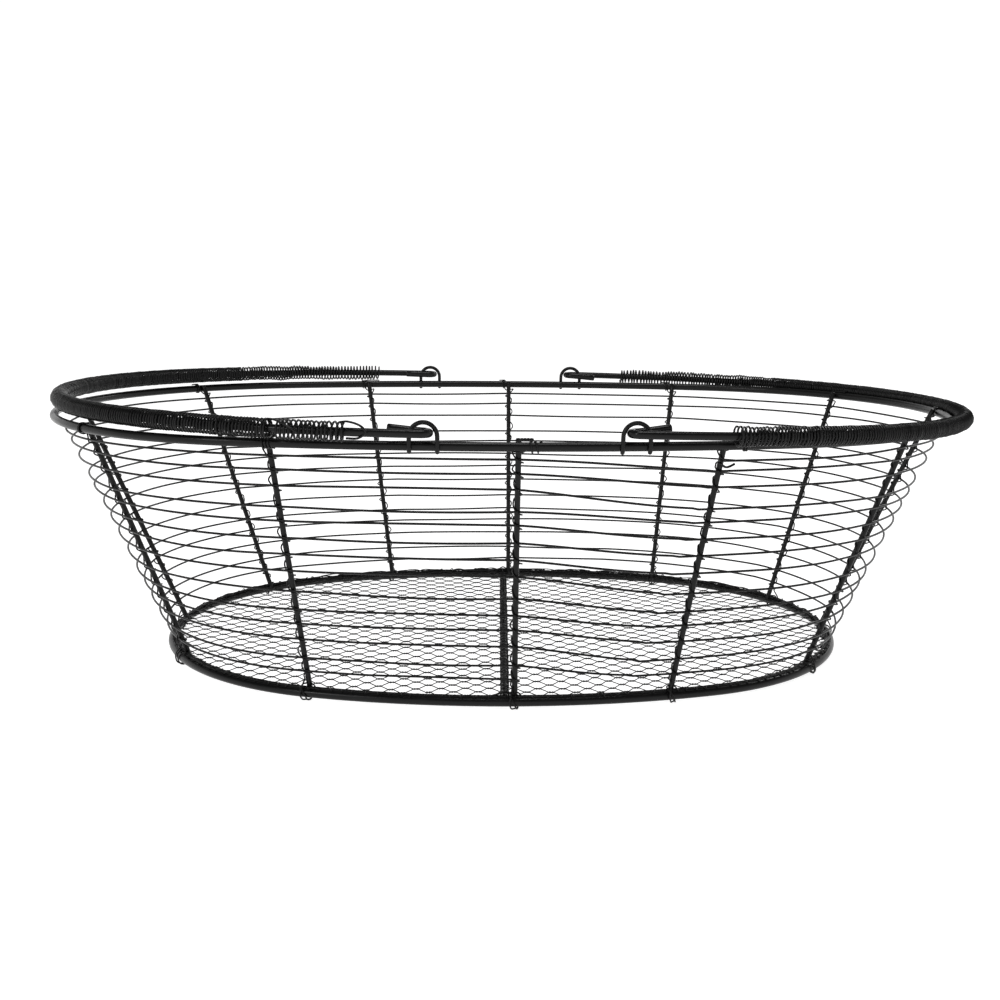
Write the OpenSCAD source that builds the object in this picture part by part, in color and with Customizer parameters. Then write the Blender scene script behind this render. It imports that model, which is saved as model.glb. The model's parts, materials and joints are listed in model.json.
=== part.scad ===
// Wire produce basket: an oval basket that tapers to its base, made of round steel wire, with two
// folding handles whose grips are wound with wire.
// Z = 0 is what it stands on, the underside of the lashings' loops. +X is the long way, -Y the front.

/* [Basket] */
// Half of the rim's length, to the middle of its rod
rim_half_length = 279.5; // [276:0.5:283]
// Half of the rim's width, to the middle of its rod
rim_half_width = 177; // [174:0.5:180]
// Radius of the rim's two ends
rim_end_radius = 164; // [160:0.5:166]
// Half of the base ring's length, to the middle of its rod
base_half_length = 214; // [208:0.5:220]
// Half of the base ring's width, to the middle of its rod
base_half_width = 151; // [148:0.5:154]
// Radius of the base ring's two ends
base_end_radius = 140; // [136:0.5:142]
// Height from the middle of the base ring to the middle of the rim
wall_height = 145; // [140:1:150]

/* [Wires] */
// Diameter of the rim's and the base ring's rod
ring_wire = 5; // [4.8:0.1:5.2]
// Diameter of the ribs and of the brace under the floor
rib_wire = 3.2; // [3:0.1:3.4]
// Diameter of the wire wound round the sides
side_wire_d = 1.1; // [0.9:0.1:1.3]
// Diameter of the soft wire that lashes the pieces together
lash_wire = 0.9; // [0.7:0.1:0.9]
// Diameter of the floor mesh's strands
mesh_wire = 0.8; // [0.6:0.1:0.8]
// Diameter of the handles' rod
handle_wire = 4.5; // [4.2:0.1:4.6]
// Diameter of the staples that hold the handles
staple_wire = 2.4; // [2.2:0.1:2.6]

/* [Floor] */
// Length of one diamond of the mesh
diamond_length = 13.8; // [13:0.1:16]
// Width of one diamond of the mesh
diamond_width = 12.4; // [12:0.1:14]
// Where the brace's front end lies along X
brace_front_x = -5.5; // [-7:0.5:-4]
// Where the brace's back end lies along X
brace_back_x = 7; // [5:0.5:9]

/* [Handles] */
// Distance from the middle of the handles to each pair of staples
staple_x = 54; // [50:0.5:58]
// How far the middle of the handles lies to the right of the basket's middle
handle_shift = 4.6; // [0:0.2:6]
// Width of a staple, outside
staple_width = 16.7; // [16.2:0.1:17.4]
// Height of a staple above the rim's top
staple_rise = 11.3; // [11:0.1:12]
// Height of the handles' hinge line above the middle of the rim's rod
hinge_rise = 7.3; // [7:0.1:7.5]
// Length of the hook's return leg
return_leg = 16; // [10:1:20]
// Outer diameter of the wound grips
grip_d = 10.8; // [9:0.1:11]
// How far the left handle reaches from the middle of the handles
left_reach = 280.5; // [276:0.5:286]
// How far the right handle reaches from the middle of the handles
right_reach = 283; // [283:0.5:286]
// Radius of the left handle's end
left_end_radius = 164; // [160:1:168]
// Radius of the right handle's end
right_end_radius = 172; // [171:0.5:174]
// How many degrees the left handle leans up as it rests
left_lean = 0.85; // [0.5:0.05:1.5]
// How many degrees the right handle hangs down as it rests outside the rim
right_droop = 1.2; // [0.8:0.1:1.4]

/* [Hidden] */
// Gap left between pieces that touch
contact_gap = 0.05;
// Where each grip's two ends are, from the middle of the handles
left_grip_ends = [94.5, 94.5];
right_grip_ends = [105.5, 93.5];
// Half of the gap between the lengths of a bent rod, and how much wider than the rod the weld in it is
weld_gap = 0.15;
weld_rise = 0.1;
// Distances between the courses of side wire, from the rim down, as they lie by hand
course_steps = [7, 7.5, 9, 12, 7.5, 9.5, 9.5, 10, 12, 10.5, 8, 10, 11, 8.5];
courses = len(course_steps);
// Each rib's place at the rim and at the base, as they stand by hand: along X, the end ribs along Y
front_rib_x = [[-241, -197], [-131, -115], [-1, 0], [108, 89], [224, 182]];
right_rib_y = [-12, -9];
back_rib_x = [[246, 197], [137, 121], [11, 11], [-97, -79], [-217, -168]];
left_rib_y = [20, 14];
rib_count = len(front_rib_x) + len(back_rib_x) + 2;
// The side wire steps down one course between these two ribs at the front
step_from = 3;
step_to = 4;

// Radius of the loops that the lashings hang in under the base ring
loop_radius = 3.8;
base_z = loop_radius + lash_wire / 2;
rim_z = base_z + wall_height;
rim_oval = [rim_half_length, rim_half_width, rim_end_radius, rim_z];
base_oval = [base_half_length, base_half_width, base_end_radius, base_z];
// The brace's underside is level with the base ring's
brace_z = base_z - (ring_wire - rib_wire) / 2;
lower_strand_z = brace_z + (rib_wire + mesh_wire) / 2 + contact_gap;
upper_strand_z = lower_strand_z + mesh_wire + contact_gap;
floor_top = upper_strand_z + mesh_wire / 2;
arch_radius = (staple_width - staple_wire) / 2;
hinge_z = rim_z + hinge_rise;
hook_radius = 4.75;
hinge_x = staple_x - 2.5;
hook_x = hinge_x + hook_radius;
staple_inset = (ring_wire + staple_wire) / 2 + contact_gap;
steel = [0.08, 0.08, 0.085];
$fn = 48;

function two_digits(i) = str(i < 10 ? "0" : "", i);
rib_names = [for (i = [1 : rib_count]) str("rib_", two_digits(i))];
lash_names = [for (i = [1 : rib_count]) str("lashing_", two_digits(i))];
staple_names = ["staple_front_left", "staple_front_right", "staple_back_left", "staple_back_right"];

// ---- Ovals of four arcs, each given as [half length, half width, end radius, height] ----

function side_radius(o) = ((o[0] - o[2]) ^ 2 / (o[1] - o[2]) + o[1] + o[2]) / 2;
// Half of the angle that an end's arc turns through
function end_angle(o) = atan2(side_radius(o) - o[1], o[0] - o[2]);
// The same oval moved in by a distance
function inset(o, d) = [o[0] - d, o[1] - d, o[2] - d, o[3]];
// The wall's oval at a share t of the way up from the base ring to the rim
function wall_oval(t) = base_oval + t * (rim_oval - base_oval);
// An angle brought into -180 to 180
function wrapped(a) = a - 360 * floor((a + 180) / 360);
// The point where the outward normal turns by the angle a from +X
function oval_point(o, a) =
    let (w = wrapped(a), e = end_angle(o), s = side_radius(o))
    abs(w) <= e ? [o[0] - o[2] + o[2] * cos(w), o[2] * sin(w), o[3]] :
    abs(w) >= 180 - e ? [-(o[0] - o[2]) + o[2] * cos(w), o[2] * sin(w), o[3]] :
    [s * cos(w), s * sin(w) - sign(w) * (s - o[1]), o[3]];
// The normal's angle at a distance x along the back, or along the front when back is -1
function angle_at_x(o, x, back) =
    let (s = side_radius(o), edge = s * cos(end_angle(o)),
         a = abs(x) <= edge ? acos(abs(x) / s) : acos((abs(x) - o[0] + o[2]) / o[2]))
    back * (x < 0 ? 180 - a : a);
function angle_at_y(o, y, right) = right > 0 ? asin(y / o[2]) : 180 - asin(y / o[2]);

module arc(radius, from, turn, wire) {
    rotate([0, 0, from]) rotate_extrude(angle = turn) translate([radius, 0]) circle(d = wire);
}

// An arc that stops a little short of both its ends, where collars of weld join it to the next
module welded_arc(radius, from, to) {
    short = asin(weld_gap / radius);
    rotate([0, 0, from + short]) rotate_extrude(angle = to - from - 2 * short) translate([radius, 0])
        children();
}

// The weld where two lengths meet at a point whose outward normal turns by the angle a
module collar(point, a, wire)
    translate(point) rotate([90, 0, a]) cylinder(h = 4 * weld_gap, d = wire + weld_rise, center = true);

module oval_ring(o, wire) {
    e = end_angle(o);
    s = side_radius(o);
    translate([0, 0, o[3]]) {
        translate([o[0] - o[2], 0, 0]) welded_arc(o[2], -e, e) circle(d = wire);
        translate([o[2] - o[0], 0, 0]) welded_arc(o[2], 180 - e, 180 + e) circle(d = wire);
        translate([0, o[1] - s, 0]) welded_arc(s, e, 180 - e) circle(d = wire);
        translate([0, s - o[1], 0]) welded_arc(s, 180 + e, 360 - e) circle(d = wire);
    }
    for (a = [e, 180 - e, 180 + e, -e]) collar(oval_point(o, a), a, wire);
}

module rod(from, to, wire) {
    v = to - from;
    translate(from) rotate([0, acos(v[2] / norm(v)), atan2(v[1], v[0])]) cylinder(h = norm(v), d = wire);
}

// ---- A wire swept along a path of [point, direction away from what it is wound on] ----

function unit(v) = v / norm(v);
function heading(path, i) =
    unit(path[min(i + 1, len(path) - 1)][0] - path[max(i - 1, 0)][0]);
function section(path, i, radius, sides) =
    let (t = heading(path, i), side = unit(cross(t, path[i][1])), up = cross(side, t))
    [for (k = [0 : sides - 1]) let (turn = 360 * k / sides)
        path[i][0] + radius * (cos(turn) * up + sin(turn) * side)];

module swept_wire(path, wire, sides) {
    points = [for (i = [0 : len(path) - 1]) each section(path, i, wire / 2, sides)];
    last = sides * (len(path) - 1);
    walls = [for (i = [0 : len(path) - 2], k = [0 : sides - 1])
        let (a = i * sides + k, b = i * sides + (k + 1) % sides)
        each [[a, b, b + sides], [a, b + sides, a + sides]]];
    ends = [[for (k = [sides - 1 : -1 : 0]) k], [for (k = [0 : sides - 1]) last + k]];
    polyhedron(points = points, faces = concat(walls, ends));
}

// ---- Rings, brace and floor ----

module rim_ring() color(steel) oval_ring(rim_oval, ring_wire);

module base_ring() color(steel) oval_ring(base_oval, ring_wire);

// The point where the brace ends at x, inside the base ring's back, or its front when back is -1
function brace_end(x, back) = [x, back * (oval_point(base_oval, angle_at_x(base_oval, x, 1))[1]
    - ring_wire / 2 - 3 * contact_gap), brace_z];
brace_front = brace_end(brace_front_x, -1);
brace_back = brace_end(brace_back_x, 1);

module base_brace() color(steel) rod(brace_front, brace_back, rib_wire);

// Hooks of soft wire round the brace, open at the top where they hold the mesh
tie_spacing = 36;
tie_turn = 250;

module brace_ties() color(steel) {
    along = unit(brace_back - brace_front);
    for (i = [-4 : 4])
        translate((brace_front + brace_back) / 2 + i * tie_spacing * along)
            rotate([90, 0, -atan2(along[0], along[1])])
                arc((rib_wire + lash_wire) / 2 + contact_gap, -90 - tie_turn / 2, tie_turn, lash_wire);
}

floor_oval = inset(base_oval, ring_wire / 2 + 2 * contact_gap);
strand_angle = atan2(diamond_width, diamond_length);
strand_spacing = diamond_length * sin(strand_angle);
shortest_strand = 12;

function inside_oval(o, p) =
    let (x = abs(p[0]) - o[0] + o[2], y = abs(p[1]), s = side_radius(o))
    x > 0 && atan2(y, x) < end_angle(o) ? norm([x, y]) <= o[2] : norm([p[0], y + s - o[1]]) <= s;
// How far a strand runs from its middle before it meets the edge, found by halving
function strand_reach(middle, direction, near, far, steps) =
    let (half = (near + far) / 2)
    steps == 0 ? near :
    inside_oval(floor_oval, middle + half * direction)
        ? strand_reach(middle, direction, half, far, steps - 1)
        : strand_reach(middle, direction, near, half, steps - 1);

module strands(angle, z) {
    along = [cos(angle), sin(angle)];
    across = [-along[1], along[0]];
    // The strand's nearest point to the middle of the longest chord keeps the halving inside the oval
    skew = (floor_oval[0] ^ 2 - floor_oval[1] ^ 2) * along[0] * along[1]
        / ((floor_oval[0] * along[1]) ^ 2 + (floor_oval[1] * along[0]) ^ 2);
    rows = floor(norm([floor_oval[0] * along[1], floor_oval[1] * along[0]]) / strand_spacing);
    for (i = [-rows : rows]) {
        middle = i * strand_spacing * (across - skew * along);
        if (inside_oval(floor_oval, middle)) {
            ahead = strand_reach(middle, along, 0, 2 * base_half_length, 16);
            behind = strand_reach(middle, -along, 0, 2 * base_half_length, 16);
            if (ahead + behind > shortest_strand) {
                from = middle - behind * along;
                to = middle + ahead * along;
                rod([from[0], from[1], z], [to[0], to[1], z], mesh_wire);
            }
        }
    }
}

module floor_mesh() color(steel) {
    strands(strand_angle, lower_strand_z);
    strands(-strand_angle, upper_strand_z);
}

// ---- Ribs: 1 to 5 along the front from left to right, 6 at the right end, 7 to 11 along the back ----

function rib_angles(i) = [for (k = [0, 1]) let (o = k == 0 ? rim_oval : base_oval)
    i <= 5 ? angle_at_x(o, front_rib_x[i - 1][k], -1) :
    i == 6 ? angle_at_y(o, right_rib_y[k], 1) :
    i <= 11 ? angle_at_x(o, back_rib_x[i - 7][k], 1) :
    angle_at_y(o, left_rib_y[k], -1)];
// A rib leans against the inside of both rings
function rib_line(i) =
    let (a = rib_angles(i), top = oval_point(rim_oval, a[0]), foot = oval_point(base_oval, a[1]),
         lean = atan2(norm([top[0] - foot[0], top[1] - foot[1]]), wall_height),
         d = ((ring_wire + rib_wire) / 2 + contact_gap) / cos(lean))
    [oval_point(inset(rim_oval, d), a[0]), oval_point(inset(base_oval, d), a[1])];
function rib_point(i, z) =
    let (l = rib_line(i)) l[1] + (z - base_z) / wall_height * (l[0] - l[1]);

rib_top = rim_z + ring_wire / 2 - 0.6;
rib_foot = floor_top + 0.6;

module rib(i) color(steel) rod(rib_point(i, rib_foot), rib_point(i, rib_top), rib_wire);

// The rib's length for each millimetre of height
function slant(i) = let (l = rib_line(i)) norm(l[0] - l[1]) / wall_height;
function share_up(z) = (z - base_z) / wall_height;
// The normal's angle at a rib, at a height
function rib_angle(i, z) = let (a = rib_angles(i)) a[1] + share_up(z) * (a[0] - a[1]);
function outward(a) = [cos(a), sin(a), 0];
function sideways(a) = [-sin(a), cos(a), 0];

// ---- The side wire: one length, wound down the outside of the ribs ----

function course_z(k) = rim_z - [for (i = 0, s = course_steps[0]; i < courses;
    i = i + 1, s = s + (i < courses ? course_steps[i] : 0)) s][k];
// Angles and how far round an oval each is, where its arcs meet; the way between them is even
function pace(o) =
    let (e = end_angle(o), half = 2 * o[2] * e + side_radius(o) * (180 - 2 * e))
    [for (k = [-1 : 3], side = [-1, 1]) [180 * k + side * e, half * k + side * o[2] * e]];
function even_angle(o, from, to, share) =
    let (p = pace(o), a = lookup(from, p), b = lookup(to, p))
    lookup(a + share * (b - a), [for (q = p) [q[1], q[0]]]);
// Half of the straight length where the wire passes a rib, and how far in its middle lies elsewhere
straight = 6;
side_wire_inset = 1.9;
// Corners of the swept wire in the bay after each rib; the long bays round the ends have one more
bay_corners = [for (i = [1 : rib_count]) i == 5 || i == 6 || i >= 11 ? 3 : 2];

// The wire's corners from one rib to the next, at the heights where it passes them
function side_wire_bay(i, z, next, next_z) =
    let (a = rib_angle(i, z), away = ((rib_wire + side_wire_d) / 2 + contact_gap) * slant(i),
         turn = rib_angle(next, next_z) - a, b = a + (turn < 0 ? turn + 360 : turn),
         middle = rib_point(i, z) + away * outward(a), m = bay_corners[i - 1])
    concat([for (side = [-1, 1]) [middle + side * straight * sideways(a), outward(a)]],
        [for (k = [1 : m])
            let (level = z + k / (m + 1) * (next_z - z),
                 wall = inset(wall_oval(share_up(level)), side_wire_inset),
                 c = even_angle(wall, a, b, k / (m + 1)))
            [oval_point(wall, c), outward(c)]]);

module side_wire() color(steel)
    swept_wire([for (k = [0 : courses - 1], n = [0 : rib_count - 1])
        let (i = (step_to - 1 + n) % rib_count + 1, next = i % rib_count + 1, z = course_z(k),
             steps_down = i == step_from && k < courses - 1)
        each [for (p = side_wire_bay(i, z, next, steps_down ? course_z(k + 1) : z))
            if (k < courses - 1 || i != step_from) p]],
        side_wire_d, 5);

// ---- Lashings: soft wire wound round each rib and over every course, tied to both rings ----

// One turn from a course to the next, as distances along the wall and away from the rib
lash_turn = [[0, 3.7], [2.1, 2.1], [2.6, 0], [1.8, -1.8], [0, -2.3], [-1.8, -1.8], [-2.6, 0], [-2.1, 2.1]];
lash_steps = len(lash_turn);
// How far below a course the lashing comes round the side of the rib
lash_drop = 1.8;
// Corners of a turn round a ring stand out so that its straight stretches clear the rod
ring_turn_radius = ((ring_wire + lash_wire) / 2 + contact_gap) / cos(180 / lash_steps);
rim_turns = 2;
rim_turn_pitch = 1.2;
rim_turn_start = 3.2;
tie_below = 4;
// Where the right handle rests beside the rim, the lashings only hook over it from the inside
function hooked(i) = i >= 5 && i <= 7;

function lash_point(i, z, n) =
    let (a = rib_angle(i, z), t = lash_turn[n % lash_steps], d = t[0] * sideways(a) + t[1] * outward(a))
    [rib_point(i, z) + t[0] * sideways(a) + slant(i) * t[1] * outward(a), unit(d)];
// The corners from one side of a turn round to the other, at even steps of height
function lash_round(i, from, to, first) =
    let (steps = lash_steps - 1 - first)
    [for (n = [0 : steps]) lash_point(i, from + n / steps * (to - from), first + n)];

function lashing_path(i) =
    let (a = rib_angles(i), rim = oval_point(rim_oval, a[0]), foot = oval_point(base_oval, a[1]),
         last_z = course_z(courses - 1))
    concat(
        [for (n = [lash_steps * (hooked(i) ? 0.5 : rim_turns) : -1 : 0])
            let (t = -90 + (hooked(i) ? -360 : 360) * n / lash_steps,
                 d = cos(t) * outward(a[0]) + sin(t) * [0, 0, 1])
            [rim + ring_turn_radius * d
                + (rim_turn_start + rim_turn_pitch * n / lash_steps) * sideways(a[0]), d]],
        lash_round(i, rim_z - tie_below, course_z(0) + lash_drop, 2),
        [for (k = [0 : courses - 1])
            let (z = course_z(k), next = k < courses - 1 ? course_z(k + 1) : base_z + tie_below)
            each concat([lash_point(i, z, 0)], lash_round(i, z - lash_drop, next + lash_drop, 1))],
        [for (n = [0 : 5])
            let (t = 90 - 45 * n, d = cos(t) * outward(a[1]) + sin(t) * [0, 0, 1])
            [foot + (t < 0 ? loop_radius : ring_turn_radius) * d - (3.2 - 0.3 * n) * sideways(a[1]), d]]);

module lashing(i) color(steel) swept_wire(lashing_path(i), lash_wire, 4);

// ---- Staples: upside-down U's whose legs run down outside the rim and curl under it ----

staple_curl = 50;

module staple(right, back) {
    a = angle_at_x(rim_oval, handle_shift + right * staple_x, back);
    spring = ring_wire / 2 + staple_rise - staple_wire / 2 - arch_radius;
    color(steel) translate(oval_point(rim_oval, a)) rotate([0, 0, a]) {
        translate([staple_inset, 0, spring]) rotate([90, 0, 90]) arc(arch_radius, 0, 180, staple_wire);
        for (side = [-1, 1]) translate([0, side * arch_radius, 0]) {
            translate([staple_inset, 0, 0]) cylinder(h = spring, d = staple_wire);
            rotate([90, 0, 0]) arc(staple_inset, -staple_curl, staple_curl, staple_wire);
        }
    }
}

// ---- Handles: U's that lie at the rim and swing up on the hooks at their ends ----

// Each handle as [side, reach, end radius, how far it leans up]; both are drawn towards +X
left_handle = [-1, left_reach, left_end_radius, left_lean];
right_handle = [1, right_reach, right_end_radius, -right_droop];
grip_bore = handle_wire + 2 * contact_gap;
// How far back a handle's hinges are, where its staples' legs stand
function hinge_y(h) =
    oval_point(inset(rim_oval, -staple_inset), angle_at_x(rim_oval, handle_shift + h[0] * hinge_x, 1))[1];
function handle_oval(h) = [h[1] - hook_x, hinge_y(h) + hook_radius, h[2], 0];

// The part of a handle's plan from the normal's angle start to stop, in three arcs
module handle_sweep(h, start, stop) {
    o = handle_oval(h);
    e = end_angle(o);
    s = side_radius(o);
    translate([hook_x, 0, 0]) {
        translate([0, s - o[1], 0]) welded_arc(s, start, -e) children();
        translate([o[0] - o[2], 0, 0]) welded_arc(o[2], -e, e) children();
        translate([0, o[1] - s, 0]) welded_arc(s, e, stop) children();
    }
}
function handle_point(h, a) = oval_point(handle_oval(h), a) + [hook_x, 0, 0];

module handle_rod(h) {
    e = end_angle(handle_oval(h));
    handle_sweep(h, -90, 90) circle(d = handle_wire);
    for (a = [-90, -e, e, 90]) collar(handle_point(h, a), a, handle_wire);
    for (back = [-1, 1]) translate([hook_x, back * hinge_y(h), 0]) {
        welded_arc(hook_radius, 90, 270) circle(d = handle_wire);
        translate([0, -back * hook_radius, 0]) {
            collar([0, 0, 0], 90, handle_wire);
            translate([weld_gap, 0, 0]) rotate([0, 90, 0]) cylinder(h = return_leg, d = handle_wire);
        }
    }
}

// A grip from its end on the -Y side to its end on the +Y side, as distances from the handles' middle
module grip(h, front, back) {
    o = handle_oval(h);
    e = end_angle(o);
    handle_sweep(h, angle_at_x(o, front - hook_x, -1), angle_at_x(o, back - hook_x, 1))
        difference() {
            circle(d = grip_d);
            circle(d = grip_bore);
        }
    for (a = [-e, e]) difference() {
        collar(handle_point(h, a), a, grip_d);
        translate(handle_point(h, a)) rotate([90, 0, a])
            cylinder(h = 8 * weld_gap, d = grip_bore + weld_rise, center = true);
    }
}

// Places a handle drawn towards +X at its side of the basket, turned about its hinge
module placed(h) color(steel)
    translate([handle_shift, 0, 0]) rotate([0, 0, h[0] < 0 ? 180 : 0])
        translate([hinge_x, 0, hinge_z]) rotate([0, -h[3], 0]) translate([-hinge_x, 0, 0]) children();

module left_handle_rod() placed(left_handle) handle_rod(left_handle);
module left_grip() placed(left_handle) grip(left_handle, left_grip_ends[0], left_grip_ends[1]);
module right_handle_rod() placed(right_handle) handle_rod(right_handle);
module right_grip() placed(right_handle) grip(right_handle, right_grip_ends[0], right_grip_ends[1]);

rim_ring();
base_ring();
base_brace();
brace_ties();
floor_mesh();
side_wire();
for (i = [1 : rib_count]) rib(i);
for (i = [1 : rib_count]) lashing(i);
staple(-1, -1);  // staple_front_left
staple(1, -1);  // staple_front_right
staple(-1, 1);  // staple_back_left
staple(1, 1);  // staple_back_right
left_handle_rod();
left_grip();
right_handle_rod();
right_grip();
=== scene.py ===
"""The looks of the wire produce basket, built around its CAD frame.

Every piece is bent wire. Its centre line is worked out in millimetres, from the frame and the sizes below,
and swept into a tube.
"""

import json
import math

import bpy
import numpy as np
from mathutils import Matrix, Vector


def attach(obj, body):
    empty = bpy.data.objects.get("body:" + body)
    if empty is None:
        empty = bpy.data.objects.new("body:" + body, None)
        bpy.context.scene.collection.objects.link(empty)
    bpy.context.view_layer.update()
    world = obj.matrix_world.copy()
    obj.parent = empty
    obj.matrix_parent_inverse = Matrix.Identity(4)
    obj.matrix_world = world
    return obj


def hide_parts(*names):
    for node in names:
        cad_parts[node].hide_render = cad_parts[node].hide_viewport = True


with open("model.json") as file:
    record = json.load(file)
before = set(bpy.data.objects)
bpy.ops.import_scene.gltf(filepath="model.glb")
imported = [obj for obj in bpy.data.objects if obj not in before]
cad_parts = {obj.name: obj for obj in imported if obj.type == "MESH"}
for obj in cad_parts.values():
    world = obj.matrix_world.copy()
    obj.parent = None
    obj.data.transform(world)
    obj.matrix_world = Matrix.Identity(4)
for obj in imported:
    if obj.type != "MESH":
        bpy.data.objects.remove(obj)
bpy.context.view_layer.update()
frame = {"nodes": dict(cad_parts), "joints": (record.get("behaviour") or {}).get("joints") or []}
MM = 0.001
UP = np.array([0.0, 0.0, 1.0])
random = np.random.default_rng(12)

# ---------------------------------------------------------------- sizes

RING_WIRE = 5.0
RIB_WIRE = 3.2
SIDE_WIRE = 1.3
LASH_WIRE = 0.9
MESH_WIRE = 0.62
HANDLE_WIRE = 4.5
STAPLE_WIRE = 2.4
COIL_WIRE = 1.2
# How many sides each kind of wire is swept with
ROD_SIDES = 20
THIN_ROD_SIDES = 14
SIDE_WIRE_SIDES = 8
LASH_SIDES = 7
COIL_SIDES = 6
MESH_SIDES = 5
COURSE_STEPS = [7, 7.5, 9, 12, 7.5, 9.5, 9.5, 10, 12, 10.5, 8, 10, 11, 8.5]
DIAMOND_LENGTH = 13.8
DIAMOND_WIDTH = 12.4
# Each ring's half length, half width and end radius, to the middle of its rod
RIM_SIZE = (279.5, 177.0, 164.0)
BASE_SIZE = (214.0, 151.0, 140.0)
HOOK_RADIUS = 4.75
# Each rib's place at the rim and at the base: along X, the two end ribs along Y
FRONT_RIB_X = [(-241, -197), (-131, -115), (-1, 0), (108, 89), (224, 182)]
RIGHT_RIB_Y = (-12, -9)
BACK_RIB_X = [(246, 197), (137, 121), (11, 11), (-97, -79), (-217, -168)]
LEFT_RIB_Y = (20, 14)
SIDE_RIBS = len(FRONT_RIB_X)
# The side wire steps down a course in the front bay that ends at this rib
STEP_TO = 4


def node_points(name):
    """A CAD node's corners, in millimetres."""
    return np.array([v.co for v in frame["nodes"][name].data.vertices]) / MM


def node_size(name):
    points = node_points(name)
    return points.min(0), points.max(0)


def node_axis(name):
    """The ends of a straight CAD rod, foot first, from the middles of its two end faces."""
    points = node_points(name)
    middle = points.mean(0)
    along = np.linalg.svd(points - middle, full_matrices=False)[2][0]
    along = along * np.sign(along @ (UP + np.array([0, 0.01, 0])))
    reach = (points - middle) @ along
    return middle + reach.min() * along, middle + reach.max() * along


# ---------------------------------------------------------------- ovals


class Oval:
    """An oval of four arcs in a level plane, as the rings, courses and handles have."""

    def __init__(self, length, width, end, z):
        self.length, self.width, self.end, self.z = length, width, end, z
        self.side = ((length - end) ** 2 / (width - end) + width + end) / 2
        self.turn = math.atan2(self.side - width, length - end)

    def inset(self, distance):
        return Oval(self.length - distance, self.width - distance, self.end - distance, self.z)

    def point(self, angle):
        """The points where the outward normal turns by these angles from +X."""
        a = (np.asarray(angle, float) + math.pi) % (2 * math.pi) - math.pi
        cos, sin = np.cos(a), np.sin(a)
        at_end = self.length - self.end
        right, left = np.abs(a) <= self.turn, np.abs(a) >= math.pi - self.turn
        x = np.where(left, -at_end + self.end * cos, self.side * cos)
        x = np.where(right, at_end + self.end * cos, x)
        y_side = self.side * sin - np.sign(a) * (self.side - self.width)
        y = np.where(right | left, self.end * sin, y_side)
        return np.stack([x, y, np.full_like(x, self.z)], -1)

    def angle_at(self, x, back):
        """The normal's angle where the oval passes x, on the back (+1) or the front (-1)."""
        if abs(x) <= self.side * math.cos(self.turn):
            a = math.acos(abs(x) / self.side)
        else:
            a = math.acos((abs(x) - self.length + self.end) / self.end)
        return back * (math.pi - a if x < 0 else a)

    def even_angles(self, start, stop, step):
        """Angles from start to stop whose points lie about step apart."""
        fine = np.linspace(start, stop, 1500)
        run = np.concatenate([[0], np.cumsum(np.linalg.norm(np.diff(self.point(fine), axis=0), axis=1))])
        return np.interp(np.linspace(0, run[-1], max(3, int(run[-1] / step))), run, fine)


def outward(angle):
    angle = np.asarray(angle, float)
    return np.stack([np.cos(angle), np.sin(angle), np.zeros_like(angle)], -1)


def node_height(name):
    low, high = node_size(name)
    return (low[2] + high[2]) / 2


RIM = Oval(*RIM_SIZE, node_height("rim_ring"))
BASE = Oval(*BASE_SIZE, node_height("base_ring"))
WALL_HEIGHT = RIM.z - BASE.z


def wall_oval(z):
    """The oval of the wall at a height, through the middles of both rings' rods."""
    t = (z - BASE.z) / WALL_HEIGHT
    sizes = [low + t * (high - low) for low, high in zip(
        (BASE.length, BASE.width, BASE.end), (RIM.length, RIM.width, RIM.end))]
    return Oval(*sizes, z)


COURSE_Z = RIM.z - np.cumsum(COURSE_STEPS)

# ---------------------------------------------------------------- swept wires


def unit(v):
    return v / np.maximum(np.linalg.norm(v, axis=-1, keepdims=True), 1e-9)


def headings(path, closed):
    if closed:
        return unit(np.roll(path, -1, 0) - np.roll(path, 1, 0))
    return unit(np.gradient(path, axis=0))


def carried_normals(tangents):
    """Normals that turn as little as they can along the path."""
    start = np.cross(tangents[0], UP)
    if np.linalg.norm(start) < 0.1:
        start = np.cross(tangents[0], [1.0, 0, 0])
    normals = [unit(start)]
    for t in tangents[1:]:
        n = normals[-1] - t * (normals[-1] @ t)
        normals.append(n / np.linalg.norm(n))
    return np.array(normals)


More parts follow.
